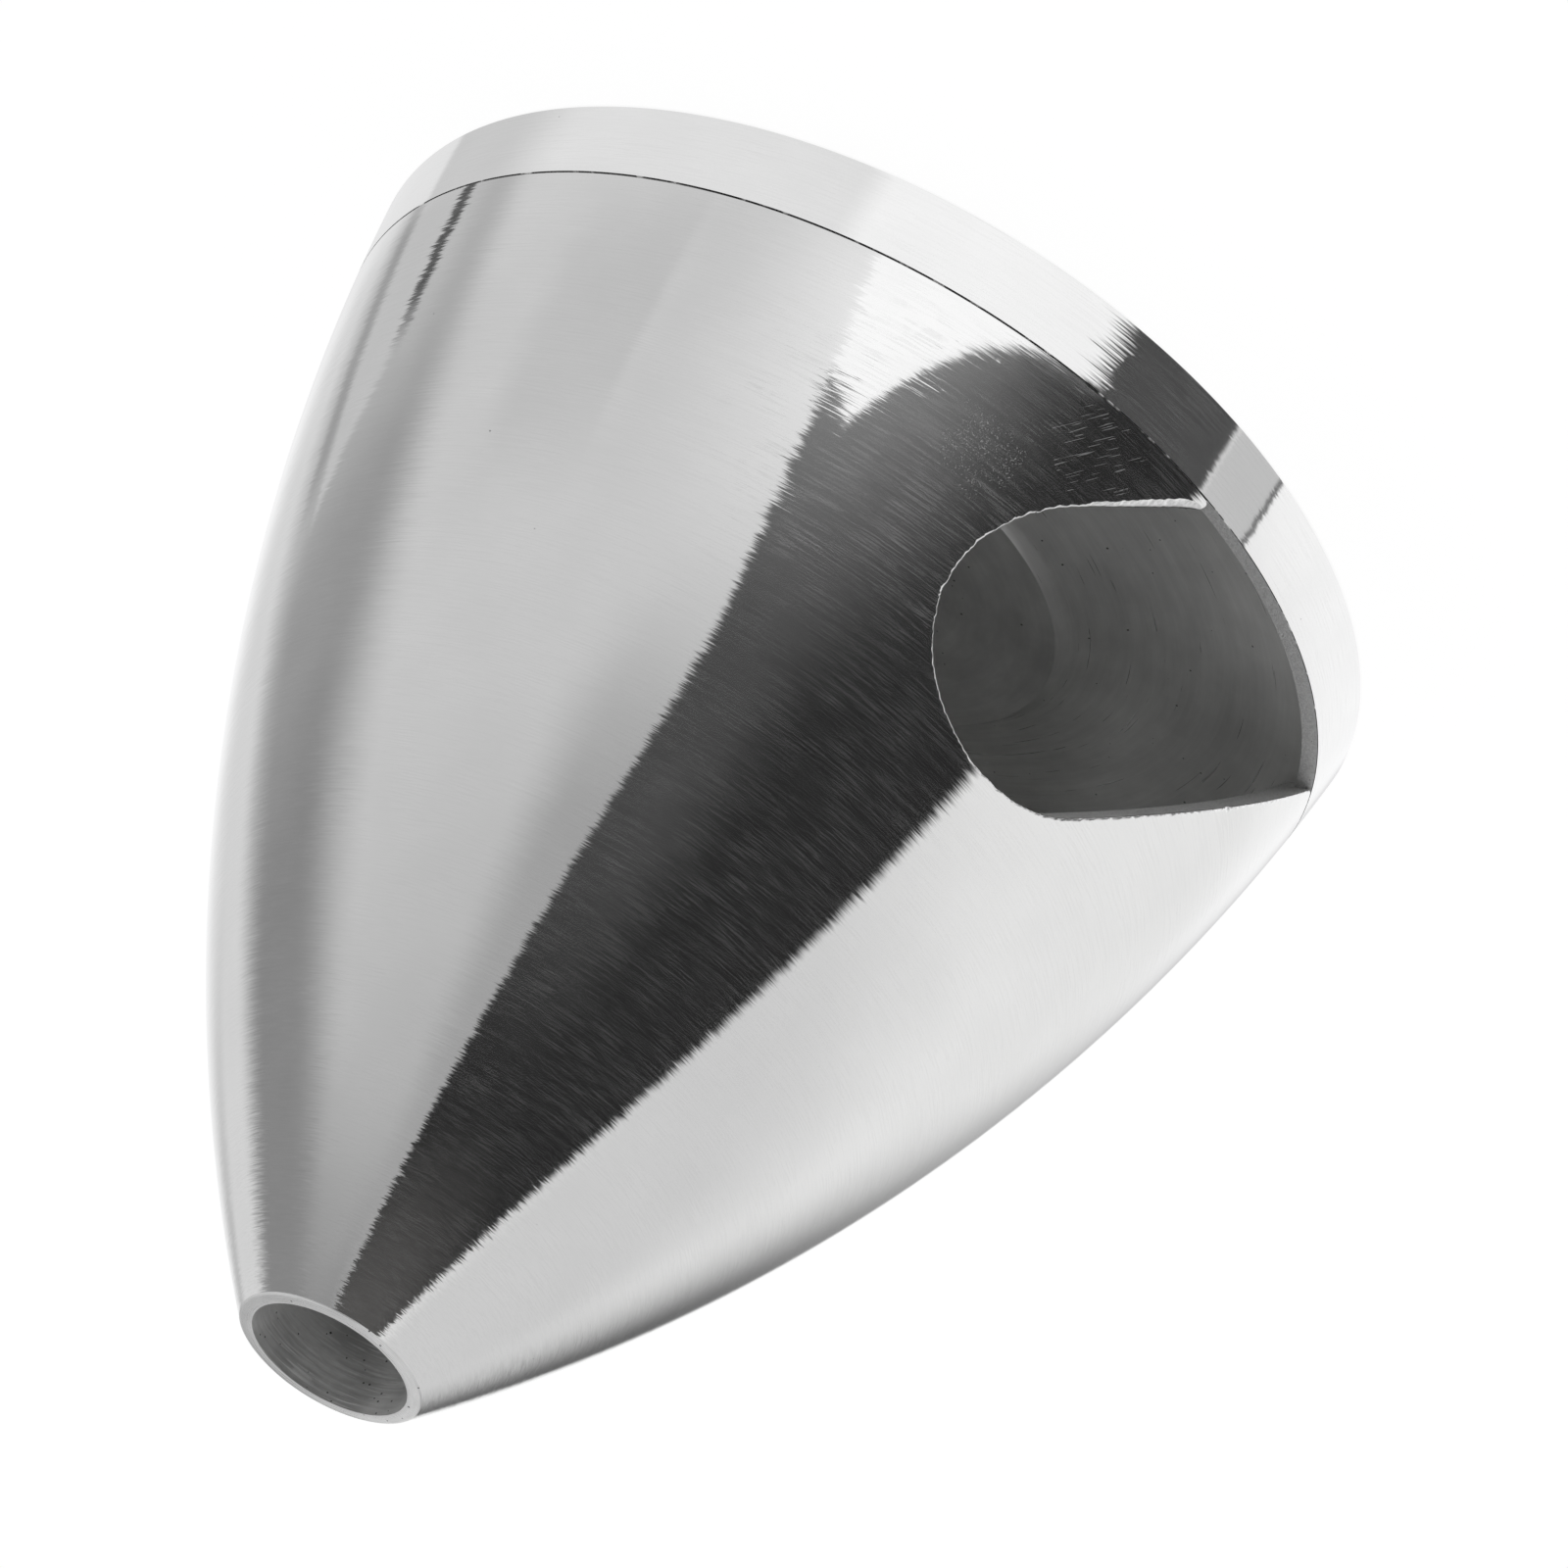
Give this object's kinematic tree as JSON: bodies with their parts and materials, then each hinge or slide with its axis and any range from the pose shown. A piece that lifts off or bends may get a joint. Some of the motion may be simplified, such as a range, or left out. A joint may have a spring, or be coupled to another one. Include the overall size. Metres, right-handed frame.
{
  "type": "propeller spinner",
  "caption": "Pointed aluminium propeller spinner: a turned cone with slanted blade windows on a dished back plate, closed by a bolt sunk in the nose.",
  "frame": {"origin": "centre of the back plate's flat rear face", "axes": "+Z along the shaft axis towards the nose; the blade windows face -Y and +Y"},
  "size_m": [0.057, 0.057, 0.0579],
  "materials": {
    "polished_aluminium": "polished along the turning marks",
    "turned_aluminium": "polished rim, turned and matte inside",
    "bolt_steel": "dark oiled steel",
    "washer_steel": "bright plated steel",
    "nut_steel": "turned steel"
  },
  "bodies": {
    "root": {"nose_cone": "polished_aluminium", "back_plate": "turned_aluminium", "cone_bolt": "bolt_steel", "bolt_washer": "washer_steel", "shaft_nut": "nut_steel"}
  },
  "joints": []
}
